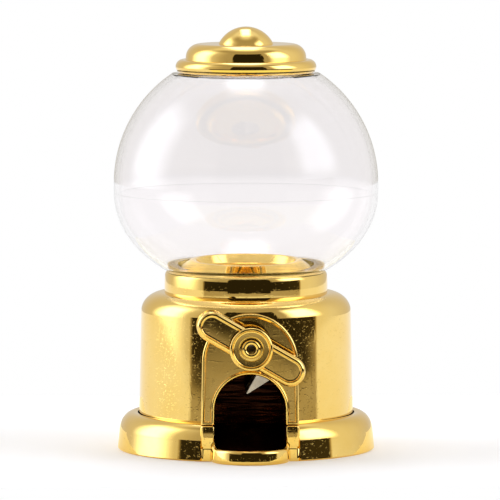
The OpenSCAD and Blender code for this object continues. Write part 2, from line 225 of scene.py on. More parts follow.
class Nodes:
    """Short calls that add nodes to one tree and link them."""

    def __init__(self, tree):
        """Starts the tree empty."""
        self.tree = tree
        tree.nodes.clear()

    def add(self, kind, **settings):
        """A new node, with its settings."""
        made = self.tree.nodes.new(kind)
        for key, value in settings.items():
            setattr(made, key, value)
        return made

    def put(self, socket, value):
        """Links an output to a socket, or sets the socket to a constant."""
        if hasattr(value, "is_output"):
            self.tree.links.new(value, socket)
        else:
            socket.default_value = value

    def math(self, operation, *values):
        """One sum on numbers or outputs."""
        made = self.add("ShaderNodeMath", operation=operation)
        for socket, value in zip(made.inputs, values):
            self.put(socket, value)
        return made.outputs[0]

    def ramp(self, value, low, high, to_low=0.0, to_high=1.0):
        """Maps a value smoothly from one range onto another."""
        made = self.add("ShaderNodeMapRange", interpolation_type="SMOOTHSTEP")
        for socket, number in zip(made.inputs, (value, low, high, to_low, to_high)):
            self.put(socket, number)
        return made.outputs[0]

    def blend(self, factor, first, second):
        """Mixes two numbers."""
        made = self.add("ShaderNodeMix", data_type="FLOAT")
        for socket, number in zip(made.inputs[:1] + made.inputs[2:4], (factor, first, second)):
            self.put(socket, number)
        return made.outputs[0]

    def mix(self, factor, first, second):
        """Mixes two colours."""
        made = self.add("ShaderNodeMix", data_type="RGBA")
        self.put(made.inputs[0], factor)
        self.put(made.inputs[6], first)
        self.put(made.inputs[7], second)
        return made.outputs[2]

    def noise(self, vector, scale, detail=3.0, roughness=0.5):
        """Smooth noise between 0 and 1."""
        made = self.add("ShaderNodeTexNoise")
        self.put(made.inputs["Vector"], vector)
        made.inputs["Scale"].default_value = scale
        made.inputs["Detail"].default_value = detail
        made.inputs["Roughness"].default_value = roughness
        return made.outputs["Fac"]

    def stretched(self, vector, scale, turn=(0.0, 0.0, 0.0)):
        """Coordinates scaled differently along each axis, after a turn in degrees."""
        made = self.add("ShaderNodeMapping")
        self.put(made.inputs["Vector"], vector)
        made.inputs["Rotation"].default_value = [radians(a) for a in turn]
        made.inputs["Scale"].default_value = scale
        return made.outputs["Vector"]

    def mirrored_only(self, path):
        """1 for a ray that comes straight from a mirror-like face, 0 for one seen through clear plastic."""
        through = self.math("SUBTRACT", 1.0, path.outputs["Is Transmission Ray"])
        return self.math("MULTIPLY", path.outputs["Is Glossy Ray"], through)

    def bump(self, height, distance, strength=1.0, normal=None):
        """A normal bent by a height, on top of another normal if there is one."""
        made = self.add("ShaderNodeBump")
        made.inputs["Strength"].default_value = strength
        made.inputs["Distance"].default_value = distance
        self.put(made.inputs["Height"], height)
        if normal is not None:
            self.put(made.inputs["Normal"], normal)
        return made.outputs["Normal"]


def new_material(name):
    """A material with an empty tree, its Principled shader and its object coordinates."""
    material = bpy.data.materials.new(name)
    material.use_nodes = True
    nodes = Nodes(material.node_tree)
    shader = nodes.add("ShaderNodeBsdfPrincipled")
    output = nodes.add("ShaderNodeOutputMaterial")
    nodes.put(output.inputs["Surface"], shader.outputs["BSDF"])
    place = nodes.add("ShaderNodeTexCoord").outputs["Object"]
    return material, nodes, shader, place


# ---------------------------------------------------------------- materials

GOLD_LIGHT = (0.955, 0.685, 0.225, 1)
GOLD_DEEP = (0.925, 0.630, 0.170, 1)


def gold(name, haze=0.02, ripple=0.04, scuffs=0.5):
    """Bright gold plating: a faint ripple from the mould, cloudy patches and fine scratches."""
    material, nodes, shader, place = new_material(name)
    cloud = nodes.noise(place, 70, 4.0, 0.6)
    nodes.put(shader.inputs["Base Color"], nodes.mix(nodes.ramp(cloud, 0.3, 0.7), GOLD_LIGHT, GOLD_DEEP))
    nodes.put(shader.inputs["Metallic"], 1.0)
    along = nodes.noise(nodes.stretched(place, (1500, 1500, 220), (14, 9, 31)), 1.0, 2.0)
    across = nodes.noise(nodes.stretched(place, (260, 1900, 1900), (33, 24, 5)), 1.0, 2.0)
    slant = nodes.noise(nodes.stretched(place, (2300, 300, 2300), (8, 52, 20)), 1.0, 2.0)
    lines = nodes.math("MAXIMUM", nodes.ramp(along, 0.60, 0.78), nodes.ramp(across, 0.62, 0.80))
    lines = nodes.math("MULTIPLY", nodes.math("MAXIMUM", lines, nodes.ramp(slant, 0.64, 0.74)), scuffs)
    soft = nodes.ramp(cloud, 0.25, 0.75, haze * 0.7, haze * 1.5)
    nodes.put(shader.inputs["Roughness"], nodes.math("MULTIPLY_ADD", lines, 0.13, soft))
    wave = nodes.bump(nodes.noise(place, 70, 1.0), 0.0008, ripple)
    nodes.put(shader.inputs["Normal"], nodes.bump(lines, 0.000012, 0.5, wave))
    return material


def clear_plastic(name, tint):
    """Moulded clear plastic with faint flow ripples and a few fine handling marks."""
    material, nodes, shader, place = new_material(name)
    nodes.put(shader.inputs["Base Color"], tint)
    shader.inputs["Transmission Weight"].default_value = 1.0
    shader.inputs["IOR"].default_value = 1.46
    marks = nodes.noise(nodes.stretched(place, (500, 500, 6000), (25, 10, 0)), 1.0, 2.0)
    marks = nodes.ramp(marks, 0.7, 0.78)
    nodes.put(shader.inputs["Roughness"], nodes.math("MULTIPLY_ADD", marks, 0.06, 0.01))
    nodes.put(shader.inputs["Normal"], nodes.bump(nodes.noise(place, 24, 0.5), 0.0006, 0.005))
    return material


def milky_plastic(name):
    """Translucent moulded plastic, hazy all through, a little cloudier in patches."""
    material, nodes, shader, place = new_material(name)
    cloud = nodes.ramp(nodes.noise(place, 180, 3.0), 0.3, 0.7)
    nodes.put(shader.inputs["Base Color"], nodes.mix(cloud, (0.97, 0.95, 0.92, 1), (0.92, 0.90, 0.87, 1)))
    nodes.put(shader.inputs["Transmission Weight"], nodes.math("MULTIPLY_ADD", cloud, -0.1, 0.6))
    shader.inputs["IOR"].default_value = 1.46
    nodes.put(shader.inputs["Roughness"], nodes.ramp(cloud, 0.0, 1.0, 0.3, 0.45))
    nodes.put(shader.inputs["Normal"], nodes.bump(nodes.noise(place, 900, 2.0), 0.00003, 0.3))
    return material


def dark_plastic(name):
    """Near-black brown moulded plastic, glossy, with level moulding ripples and fine grain; its darkness is
    partly the plastic's own colour and partly painted shade for the hollow of the mouth.
    """
    material, nodes, shader, place = new_material(name)
    # painted shade: the near-black brown partly stands in for the dark hollow of the mouth, and the red-brown
    # specular tint colours its glints
    tone = nodes.ramp(nodes.noise(place, 160, 4.0, 0.6), 0.3, 0.7)
    brown_and_painted_shade = nodes.mix(tone, (0.008, 0.0015, 0.001, 1), (0.018, 0.004, 0.002, 1))
    nodes.put(shader.inputs["Base Color"], brown_and_painted_shade)
    shader.inputs["Specular IOR Level"].default_value = 0.25
    shader.inputs["Specular Tint"].default_value = (1.0, 0.32, 0.16, 1)
    nodes.put(shader.inputs["Roughness"], nodes.ramp(nodes.noise(place, 420, 3.0), 0.3, 0.7, 0.05, 0.14))
    grain = nodes.bump(nodes.noise(place, 2600, 2.0), 0.00002, 0.3)
    ripples = nodes.noise(nodes.stretched(place, (90, 90, 900), (3, 7, 2)), 1.0, 1.5)
    nodes.put(shader.inputs["Normal"], nodes.bump(ripples, 0.0004, 0.35, grain))
    return material


def ivory_plastic(name):
    """Ivory plastic with rubbed, slightly darker patches; its front-facing side carries a painted glow, an
    emission that stands in for light on the wheel in the dark mouth.
    """
    material, nodes, shader, place = new_material(name)
    tone = nodes.ramp(nodes.noise(place, 260, 4.0, 0.65), 0.35, 0.7)
    nodes.put(shader.inputs["Base Color"], nodes.mix(tone, (0.93, 0.86, 0.72, 1), (0.80, 0.72, 0.57, 1)))
    nodes.put(shader.inputs["Roughness"], nodes.ramp(tone, 0.0, 1.0, 0.28, 0.42))
    # painted light: emission on the faces that look forward, a little stronger on the paler patches, lights
    # the wheel's front in the mouth
    facing = nodes.add("ShaderNodeSeparateXYZ")
    nodes.put(facing.inputs[0], nodes.add("ShaderNodeNewGeometry").outputs["Normal"])
    front = nodes.ramp(facing.outputs[1], -0.9, -0.4, 1.0, 0.0)
    painted_front_light = nodes.math("MULTIPLY", front, nodes.ramp(tone, 0.0, 1.0, 0.40, 0.28))
    nodes.put(shader.inputs["Emission Color"], (1.0, 0.86, 0.62, 1))
    nodes.put(shader.inputs["Emission Strength"], painted_front_light)
    nodes.put(shader.inputs["Normal"], nodes.bump(nodes.noise(place, 1800, 2.0), 0.00004, 0.5))
    return material


def steel(name):
    """Turned steel with fine rings of tool marks and a little oil haze."""
    material, nodes, shader, place = new_material(name)
    haze = nodes.ramp(nodes.noise(place, 300, 4.0, 0.6), 0.3, 0.7)
    nodes.put(shader.inputs["Base Color"], nodes.mix(haze, (0.62, 0.62, 0.63, 1), (0.44, 0.44, 0.46, 1)))
    nodes.put(shader.inputs["Metallic"], 1.0)
    marks = nodes.noise(nodes.stretched(place, (600, 9000, 600)), 1.0, 2.0)
    nodes.put(shader.inputs["Roughness"], nodes.ramp(marks, 0.3, 0.7, 0.22, 0.4))
    nodes.put(shader.inputs["Normal"], nodes.bump(marks, 0.00002, 0.4))
    return material


def floor_paper(name):
    """Matte white studio paper with a very faint tooth, with a painted warm yellow where the plating reflects
    it.
    """
    material, nodes, shader, place = new_material(name)
    tone = nodes.noise(place, 400, 3.0)
    pale = nodes.mix(tone, (0.95, 0.95, 0.95, 1), (0.98, 0.98, 0.98, 1))
    # painted reflection: where the plating mirrors the paper, the paper is painted a warm yellow instead of
    # white
    mirrored = nodes.mirrored_only(nodes.add("ShaderNodeLightPath"))
    nodes.put(shader.inputs["Base Color"], nodes.mix(mirrored, pale, (0.97, 0.91, 0.62, 1)))
    nodes.put(shader.inputs["Emission Color"], pale)
    shader.inputs["Emission Strength"].default_value = 0.09
    nodes.put(shader.inputs["Roughness"], nodes.ramp(tone, 0.0, 1.0, 0.9, 1.0))
    shader.inputs["Specular IOR Level"].default_value = 0.0
    nodes.put(shader.inputs["Normal"], nodes.bump(tone, 0.00002, 0.3))
    return material


GOLD = gold("gold_plating")
GOLD_BODY = gold("gold_plating_body", scuffs=0.75)
GOLD_FLAT = gold("gold_plating_flat", haze=0.05, ripple=0.02, scuffs=0.3)
CLEAR = clear_plastic("clear_globe", (0.977, 0.960, 0.967, 1))
LINER = milky_plastic("milky_liner")
DARK_AND_SHADE = dark_plastic("dark_plastic")
IVORY = ivory_plastic("ivory_plastic")
STEEL = steel("turned_steel")


# ---------------------------------------------------------------- places taken from the CAD

body_low, body_high = span("body_shell")
collar_low, collar_high = span("neck_collar")
globe_low, globe_high = span("globe_upper")
lower_low = span("globe_lower")[0]
lid_low, lid_high = span("lid_shell")
knob_low, knob_high = span("lid_knob")
liner_low, liner_high = span("lid_liner")
ring_high = span("base_ring")[1]
SHAFT_Z = (span("crank_shaft")[0].z + span("crank_shaft")[1].z) / 2


# ---------------------------------------------------------------- lid

TIER_R = 13.5
TIER_ROUND = 3.0
TIER_DRAFT = 4.6
BEAD_R = 1.6
SHEET = 1.1
KNOB_R = 6.85


def lid_shell():
    """A domed tier on a rolled bead, hollow underneath."""
    bead_centre = (lid_high.x - BEAD_R, 86.05)
    foot = asin((lid_low.z - bead_centre[1]) / BEAD_R)
    tuck = acos((TIER_R + 0.08 - bead_centre[0]) / BEAD_R)
    top = lid_high.z
    shoulder = (TIER_R - TIER_ROUND, top - TIER_ROUND)
    inner_r = TIER_R - SHEET
    profile = arc(bead_centre, BEAD_R, degrees(foot), degrees(tuck), 34)
    profile += arc(shoulder, TIER_ROUND, TIER_DRAFT, 90, 16)
    profile += [(4.0, top), (0, top), (0, top - SHEET), (4.0, top - SHEET)]
    profile += arc(shoulder, TIER_ROUND - SHEET, 90, 0, 10)
    profile += [(inner_r, lid_low.z + 0.2), (inner_r + 0.2, lid_low.z)]
    return piece("lid_shell_gold", lathe(profile), GOLD, "lid", ["lid_shell"])


def lid_knob():
    """The top of a ball, standing on the tier, with its stud staked under the roof."""
    seat = lid_high.z
    centre = knob_high.z - KNOB_R
    edge = degrees(asin((seat - centre) / KNOB_R))
    profile = arc((0, centre), KNOB_R, 90, edge, 26)
    foot_r = profile[-1][0]
    profile += [(foot_r - 0.3, seat - 0.12), (1.5, seat - 0.12)]
    profile += [(1.5, seat - SHEET), (2.4, seat - SHEET), (2.4, knob_low.z), (0, knob_low.z)]
    return piece("lid_knob_gold", lathe(profile), GOLD, "lid", ["lid_knob"])


def lid_liner():
    """A clear ring pressed into the lid, which centres it in the filling hole."""
    outer = liner_high.x
    inner = outer - 1.0
    neck = outer - 0.2
    profile = rounded([
        (inner, liner_low.z, 0.2), (neck, liner_low.z, 0.2), (neck, lid_low.z),
        (outer - 0.04, lid_low.z + 0.04), (outer - 0.04, liner_high.z, 0.15), (inner, liner_high.z, 0.15)])
    return piece("lid_liner_clear", lathe(profile), LINER, "lid", ["lid_liner"])


# ---------------------------------------------------------------- globe

WALL = 1.2
SEAM_GAP = 0.003
GLOBE_SEGMENTS = 256
GLOBE_STEPS = 150
FILL_R = 12.5
UPPER_CENTRE_Z = 59.9
LOWER_DEPTH = 22.0
COLLAR_SOCKET_R = 16.65


def globe_upper():
    """The upper half: a sphere from a hair above the seam to a flat rim round the filling hole."""
    outer = globe_high.x
    inner = outer - WALL
    seam = globe_low.z + SEAM_GAP
    top = globe_high.z
    centre = (0, UPPER_CENTRE_Z)
    top_angle = degrees(asin((top - centre[1]) / outer))
    inner_angle = degrees(asin((top - WALL - centre[1]) / inner))
    profile = [(outer, seam)] + arc(centre, outer, 0, top_angle - 0.6, GLOBE_STEPS)
    rim = [(FILL_R + 3, top), (FILL_R, top, 0.4), (FILL_R, top - WALL, 0.4), (FILL_R + 3, top - WALL)]
    profile += rounded(rim, closed=False)[1:-1]
    profile += arc(centre, inner, inner_angle, 0, GLOBE_STEPS)
    profile += [(inner, seam)]
    return piece("globe_upper_clear", lathe(profile, segments=GLOBE_SEGMENTS), CLEAR, "stand",
                 ["globe_upper"])


def globe_lower():
    """The lower half: flatter, a hair below the seam, with a spigot that sits in the collar."""
    outer = globe_high.x
    inner = outer - WALL
    seam = globe_low.z - SEAM_GAP
    foot = lower_low.z
    socket = collar_high.z
    depth = LOWER_DEPTH - WALL
    centre = (0, seam)
    out_angle = -degrees(asin((seam - socket) / LOWER_DEPTH))
    in_angle = -degrees(asin((seam - socket - WALL) / depth))
    spigot_in = COLLAR_SOCKET_R - WALL
    profile = [(spigot_in, foot), (COLLAR_SOCKET_R, foot), (COLLAR_SOCKET_R, socket - 0.4)]
    profile += arc(centre, (outer, LOWER_DEPTH), out_angle + 0.8, 0, GLOBE_STEPS)
    profile += arc(centre, (inner, depth), 0, in_angle, GLOBE_STEPS)
    profile += [(spigot_in, socket + 0.9)]
    return piece("globe_lower_clear", lathe(profile, segments=GLOBE_SEGMENTS), CLEAR, "stand",
                 ["globe_lower"])


# ---------------------------------------------------------------- collar and hopper

BARREL_TOP = 4.8


def neck_collar():
    """A faintly barrel-shaped ring with a round top edge, which the globe's spigot drops into."""
    barrel_r = 30.0
    low, high = collar_low.z, collar_high.z
    widest_z = low + 1.23
    centre = (collar_high.x - barrel_r, widest_z)
    foot_angle = -degrees(asin((widest_z - low) / barrel_r))
    wall = arc(centre, barrel_r, foot_angle, BARREL_TOP, 14)
    last_r, last_z = wall[-1]
    edge_r = (high - last_z) / (1 - sin(radians(BARREL_TOP)))
    edge_centre = (last_r - edge_r * cos(radians(BARREL_TOP)), high - edge_r)
    profile = [(14.6, low)] + wall + arc(edge_centre, edge_r, BARREL_TOP, 86, 16)[1:]
    profile += [(16.7, high - 0.15), (16.7, low + 1), (14.6, low + 1)]
    return piece("neck_collar_gold", lathe(profile), GOLD, "stand", ["neck_collar"])


def hopper():
    """A dished funnel inside the globe's foot, with an off-centre throat over the wheel."""
    low, high = span("hopper")
    flange_r = high.x
    skirt_r = flange_r - 1.4
    wall = 1.0
    throat_z = 39.6
    throat_y = -3.0
    profile = rounded([
        (skirt_r - wall, low.z), (flange_r - 0.1, low.z), (flange_r - 0.1, low.z + 0.8),
        (skirt_r, low.z + 0.8, 0.2), (skirt_r, high.z - 2.0, 0.6), (12.5, high.z - 0.1, 0.4),
        (11.9, high.z, 0.25), (11.3, high.z - 0.1, 0.2), (10.6, high.z - 2.2, 0.6), (6.2, high.z - 2.6),
        (0, high.z - 2.6), (0, throat_z - 0.8), (10.3, throat_z - 0.8, 0.5), (11.4, high.z - 1.5, 0.4),
        (skirt_r - wall, high.z - 3.0, 0.4)])
    throat = moved(lathe([(0, -4), (5.4, -4), (5.4, 4), (0, 4)], segments=96),
                   Matrix.Translation((0, throat_y, throat_z)))
    return piece("hopper_gold", carved(lathe(profile), throat), GOLD, "stand", ["hopper"])


# ---------------------------------------------------------------- body

SHOULDER_R = 5.0
SHOULDER_H = 4.4
BODY_WALL = 1.3
POST_RING_R = 21.0
POST_R = 2.4
POST_BORE_R = 1.0
POST_H = 12.0
POST_ANGLES = (90, 200, 340)
BEZEL_HALF_W = 10.6
BEZEL_FLARE = 0.3
BEZEL_ARCH_Z = span("front_bezel")[1].z - BEZEL_HALF_W
BEZEL_SKIRT = 1.1


def tombstone(half_w, arch_z, foot_z):
    """An arched doorway outline."""
    return [(half_w, foot_z)] + arc((0, arch_z), half_w, 0, 180, 48) + [(-half_w, foot_z)]


def screw_post(angle, foot):
    """A tube inside the drum that a base screw bites into."""
    tube = lathe([(POST_BORE_R, foot), (POST_R, foot), (POST_R, foot + POST_H), (POST_BORE_R, foot + POST_H)],
                 segments=48)
    return moved(tube, Matrix.Translation(polar(POST_RING_R, angle) + (0,)))


def body_shell():
    """The drum: nearly straight, a round shoulder, a hole for the collar, and an opening in front."""
    foot_r = body_high.x
    top_r = foot_r - 0.6
    foot, top = body_low.z, body_high.z
    shoulder = (top_r - SHOULDER_R, top - SHOULDER_H)
    wall = densify([(foot_r, foot), (top_r, shoulder[1])], 2.4, closed=False)
    inner_wall = densify([(top_r - BODY_WALL, shoulder[1]), (foot_r - BODY_WALL, foot)], 6, closed=False)
    profile = wall[:-1] + arc(shoulder, (SHOULDER_R, SHOULDER_H), 0, 90, 24)
    profile += [(16.3, top), (16.2, top - 0.1), (16.2, top - BODY_WALL)]
    profile += arc(shoulder, (SHOULDER_R - BODY_WALL, SHOULDER_H - BODY_WALL), 90, 0, 12)[:-1] + inner_wall
    opening = slab(tombstone(BEZEL_HALF_W - BEZEL_SKIRT, BEZEL_ARCH_Z, foot - 1), -40, -10)
    shell = carved(lathe(profile), opening)
    whole = joined(shell, *[screw_post(angle, foot) for angle in POST_ANGLES])
    return piece("body_shell_gold", whole, GOLD_BODY, "stand", ["body_shell"])


# ---------------------------------------------------------------- front plate

MOUTH_HALF_W = 7.9
MOUTH_ARCH_Z = 11.2
BEZEL_FOOT_Z = 7.9
BEZEL_PLATE = 1.1
BEZEL_RECESS = 0.5
RIM_W = 0.8
SKIRT_BACK = -20.5


def horseshoe(inset, depth, mouth_depth=None):
    """The front plate's outline, drawn in by an inset; its mouth side may lie at another depth."""
    mouth_depth = depth if mouth_depth is None else mouth_depth
    half_w = BEZEL_HALF_W - inset
    mouth_w = MOUTH_HALF_W + inset
    foot = BEZEL_FOOT_Z + inset
    middle = (foot + BEZEL_ARCH_Z) / 2
    sides = [(half_w + BEZEL_FLARE, foot), (half_w + BEZEL_FLARE / 2, middle)]
    outer = [(-x, z) for x, z in sides] + arc((0, BEZEL_ARCH_Z), half_w, 180, 0, 60) + sides[::-1]
    mouth = [(mouth_w, foot)] + arc((0, MOUTH_ARCH_Z), mouth_w, 0, 180, 48) + [(-mouth_w, foot)]
    return [(x, depth, z) for x, z in outer] + [(x, mouth_depth, z) for x, z in mouth]


def front_bezel():
    """The arched front plate: a rounded rim round a sunken face, and a skirt back to the drum."""
    front = span("front_bezel")[0].y
    face = front + BEZEL_RECESS
    back = front + BEZEL_PLATE
    bead = RIM_W / 2
    loops = [horseshoe(BEZEL_SKIRT, back), horseshoe(BEZEL_SKIRT, SKIRT_BACK, back),
             horseshoe(0, SKIRT_BACK, back), horseshoe(0, front + bead + 0.3), horseshoe(0, front + bead)]
    for i in range(1, 12):
        a = pi * i / 12
        loops.append(horseshoe(bead - bead * cos(a), front + bead - bead * sin(a)))
    loops += [horseshoe(RIM_W, front + bead), horseshoe(RIM_W + 0.02, face - 0.06),
              horseshoe(RIM_W + 0.08, face), horseshoe(RIM_W + 0.2, face)]
    bore = moved(lathe([(0, 0), (3.2, 0), (3.2, 4), (0, 4)], segments=96), facing_front(back + 2))
    return piece("front_bezel_gold", carved(loft(loops), bore), GOLD_FLAT, "stand",
                 ["front_bezel"])


def facing_front(y):
    """Stands a part that was turned about Z on the crank's axis, its top towards the front."""
    return Matrix.Translation((0, y, SHAFT_Z)) @ Matrix.Rotation(pi / 2, 4, "X")


def shaft_bush():
    """The stepped bush in the front plate."""
    low, high = span("shaft_bush")
    flange_r = high.x
    face = span("front_bezel")[0].y + BEZEL_RECESS
    h = face - low.y
    tube_end = face - high.y
    profile = rounded([
        (1.86, tube_end), (3.2, tube_end), (3.2, 0), (flange_r - 0.1, 0),
        (flange_r, 0.3, 0.1), (flange_r - 0.05, h - 0.9, 0.5), (flange_r - 1.0, h, 0.6), (1.86, h, 0.1)])
    return piece("shaft_bush_gold", moved(lathe(profile), facing_front(face)), GOLD, "stand",
                 ["shaft_bush"])


# ---------------------------------------------------------------- foot ring and tray

JAMB_HALF_W = 11.1
JAMB_FRONT = -26.6
JAMB_BACK = -22.0
RING_BEAD_R = 3.3
RING_BEAD_H = 4.3
JAMB_GROOVE_Z = 3.1


def base_ring():
    """The foot ring, cut at the front for the tray, with a square jamb on each side of the mouth."""
    foot_r = ring_high.x
    top_r = foot_r - 0.4
    apex = ring_high.z
    centre = (top_r - RING_BEAD_R, apex - RING_BEAD_H)
    profile = [(24.6, 0), (25.8, 0), (25.8, 6.2), (26, 6.2), (27.2, 5.0), (27.6, 0), (foot_r - 0.3, 0),
               (foot_r, 0.3)] + arc(centre, (RING_BEAD_R, RING_BEAD_H), 3, 104, 28)
    profile += [(24.6, apex - 0.5), (24.6, apex - 0.9)]
    gap = degrees(asin(JAMB_HALF_W / foot_r))
    ring = lathe(profile, -90 + gap, 270 - gap, 180)
    return piece("base_ring_gold", joined(ring, *[jamb(side) for side in (-1, 1)]), GOLD, "stand",
                 ["base_ring"])


def jamb(side):
    """One jamb beside the mouth: a block with soft edges and a groove across it."""
    low_x, high_x = sorted((side * MOUTH_HALF_W, side * JAMB_HALF_W))
    top = BEZEL_FOOT_Z
    soft = (0.8, 0.3) if side < 0 else (0.3, 0.8)
    outline = rounded([(low_x, JAMB_BACK), (low_x, JAMB_FRONT, soft[0]), (high_x, JAMB_FRONT, soft[1]),
                       (high_x, JAMB_BACK)], steps=8)
    middle_x, middle_y = (low_x + high_x) / 2, (JAMB_FRONT + JAMB_BACK) / 2

    def level(z, inset):
        """The outline at one height, drawn in by an inset."""
        in_x = 1 - 2 * inset / (high_x - low_x)
        in_y = 1 - 2 * inset / (JAMB_BACK - JAMB_FRONT)
        return [(middle_x + (x - middle_x) * in_x, middle_y + (y - middle_y) * in_y, z) for x, y in outline]

    groove = JAMB_GROOVE_Z
    steps = [(0, 0.1), (0.1, 0)]
    steps += [(groove - 0.42, 0), (groove - 0.3, 0.06), (groove - 0.25, 0.4)]
    steps += [(groove + 0.1, 0.4), (groove + 0.15, 0.16), (groove + 0.3, 0.1)]
    steps += [(top - 0.45, 0.1), (top - 0.2, 0.17), (top - 0.06, 0.32), (top, 0.5)]
    return loft([level(z, inset) for z, inset in steps])


TRAY_R = 9.0
TRAY_Y = -26.0
LIP_Z = 3.2
EAR_Z = 4.9
EAR_START = -29.6
TRAY_WALL = 1.1
TRAY_FLOOR = 1.2


def tray_section(angle):
    """The tray's section at one angle round its centre; the rim rises to an ear at each jamb."""
    y = TRAY_Y + TRAY_R * sin(angle)
    rise = min(1.0, max(0.0, (y - EAR_START) / (JAMB_FRONT - EAR_START)))
    ear = (EAR_Z - LIP_Z) * rise * rise * (3 - 2 * rise)
    inside = TRAY_R - TRAY_WALL
    section = rounded([
        (0, 0), (TRAY_R - 0.4, 0, 0.2), (TRAY_R, 0.7, 0.5), (TRAY_R - 0.2, LIP_Z + 0.3 * ear, 0.75),
        (inside, LIP_Z + ear, 0.25), (inside, TRAY_FLOOR, 0.5), (0, TRAY_FLOOR)], steps=8)
    return [(r * cos(angle), TRAY_Y + r * sin(angle), z) for r, z in section]


def dispensing_tray():
    """A D-shaped scoop with a rolled lip and a tongue that runs back under the mouth."""
    scoop = loft([tray_section(radians(180 + 180 * i / 96)) for i in range(97)])
    half = MOUTH_HALF_W - 0.05
    step_y = span("chute_liner")[0].y
    side = [(TRAY_Y - 0.3, 0), (TRAY_Y - 0.3, TRAY_FLOOR), (step_y, 2.0), (step_y, 1.6), (JAMB_BACK, 1.6),
            (JAMB_BACK, 0)]
    tongue = loft([[(x, y, z) for y, z in side] for x in (-half, half)])
    return piece("dispensing_tray_gold", joined(scoop, tongue), GOLD, "stand",
                 ["dispensing_tray"])


# ---------------------------------------------------------------- crank

WING_REACH = 9.95
WING_R = 3.4
WING_TILT = 30.0
HUB_R = 4.78
RIM_WIDTH = 1.0
RIM_DROP = 1.0
POCKET_CROWN = 0.004


def stadium(radius, y):
    """The wings' outline at one depth, drawn about the crank's axis."""
    right = arc((WING_REACH, 0), radius, -90, 90, 36)
    left = arc((-WING_REACH, 0), radius, 90, 270, 36)
    steps = [WING_REACH * (1 - i / 6) for i in range(1, 12)]
    top = [(x, radius) for x in steps]
    bottom = [(-x, -radius) for x in steps]
    return [(x, y, z) for x, z in right + top + left + bottom]


def wings(front, back):
    """Two wings in one bar: a round rim about a sunken, crowned floor, hollow behind, with draft."""
    floor = front + 1.35
    inner = WING_R - 0.05 - RIM_WIDTH
    peak = inner + 0.14
    crown = [(inner * (0.02 + 0.13 * i), floor - POCKET_CROWN * (1 - (0.13 * i) ** 2)) for i in range(7)]
    section = crown + rounded([crown[-1], (inner, floor, 0.3), (inner, front + 0.14)], False)[1:-1]
    section += arc((peak, front + 0.14), 0.14, 180, 265, 4)
    section += arc((peak, front + RIM_DROP), (WING_R - 0.05 - peak, RIM_DROP), 272, 360, 16)
    section += rounded([(WING_R - 0.05, front + RIM_DROP), (WING_R, back, 0.3), (WING_R - 0.6, back, 0.2),
                        (WING_R - 0.7, back - 2.0, 0.2), (0.05, back - 2.0)], False)[1:]
    return loft([stadium(radius, y) for radius, y in section])


def on_crank(solid, y):
    """Lays a part that was turned about Z along the crank's axis, towards the front."""
    return moved(solid, Matrix.Translation((0, y, 0)) @ Matrix.Rotation(pi / 2, 4, "X"))


def turn_handle():
    """The crank's handle: a proud ring about a flat disc in the middle of two wings."""
    low, high = span("turn_handle")
    front, back = low.y, high.y
    tall = back - front
    disc = tall - 0.9
    hub = on_crank(lathe(rounded([
        (0, 0), (HUB_R - 0.3, 0, 0.2), (HUB_R, 1.0, 0.5), (HUB_R, tall - 0.25, 0.4),
        (HUB_R - 0.56, tall, 0.12), (HUB_R - 0.8, disc - 0.03, 0.35), (2.75, disc, 0.1),
        (2.62, disc - 0.12, 0.08), (2.5, disc, 0.1), (0, disc)])), back)
    core = on_crank(lathe([(0, -1), (HUB_R - 0.3, -1), (HUB_R - 0.3, 8), (0, 8)]), back)
    bar = carved(carved(wings(front + 0.8, back - 0.6), core), hub, "UNION")
    bore = on_crank(lathe([(0, -1), (1.8, -1), (1.8, back + 31.2), (1.25, back + 31.2), (1.25, 9), (0, 9)],
                          segments=96), back)
    whole = carved(bar, bore)
    moved(whole, Matrix.Translation((0, 0, SHAFT_Z)) @ Matrix.Rotation(radians(WING_TILT), 4, "Y"))
    return piece("turn_handle_gold", whole, GOLD_FLAT, "crank", ["turn_handle"], sharp=30)


def handle_rivet():
    """A tubular rivet with its end rolled over in a smooth ring."""
    low, high = span("handle_rivet")
    head_r = high.x
    bore = 0.95
    mid = (head_r + bore) / 2
    length = high.y - low.y - 0.5
    profile = [(bore, -length), (1.25, -length), (1.25, 0), (head_r, 0)]
    profile += arc((mid, 0), (mid - bore, 0.5), 0, 180, 24)[1:]
    return piece("handle_rivet_gold", moved(lathe(profile), facing_front(low.y + 0.5)), GOLD, "crank",
                 ["handle_rivet"])


BLADE_R = 12.73
CORE_R = 5.8


def dispensing_wheel():
    """The dispensing wheel: two swept blades on a core, turned by the crank's shaft."""
    low, high = span("dispensing_wheel")
    half = [polar(BLADE_R, -92) + (0.15,)] + arc((0, 0), 10.55, -58, -14, 16)
    half += [polar(CORE_R, 8)] + arc((0, 0), CORE_R, 16, 150, 24)
    other = [(-point[0], -point[1]) + tuple(point[2:]) for point in half]
    outline = rounded(half + other)
    wheel = slab([(x, SHAFT_Z + z) for x, z in outline], low.y, high.y)
    return piece("dispensing_wheel_ivory", wheel, IVORY, "crank", ["dispensing_wheel"],
                 bevel=0.12)


# ---------------------------------------------------------------- carried-over CAD nodes

def finish_cad_nodes():
    """Gives the CAD nodes that stay their materials."""
    finishes = {
        "bush_nut": STEEL, "wheel_housing": DARK_AND_SHADE, "chute_liner": DARK_AND_SHADE, "base_plate": GOLD,
        "base_screws": STEEL, "housing_screws": STEEL, "crank_shaft": STEEL, "crank_washer": STEEL,
        "shaft_clip": STEEL}
    for node, material in finishes.items():
        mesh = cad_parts[node].data
        for i in range(len(mesh.materials)):
            mesh.materials[i] = material


# ---------------------------------------------------------------- studio

CAMERA_DISTANCE = 1350.0
CAMERA_RISE = 4.8
CAMERA_SIDE = -2.1
CAMERA_TARGET = (0.893, -0.266, 44.725)
CAMERA_LENS = 432.2
FLOOR_W = 80.0
FLOOR_FRONT = 72.0
FLOOR_BACK = 108.0
WHITE = (1.0, 1.0, 1.0, 1)


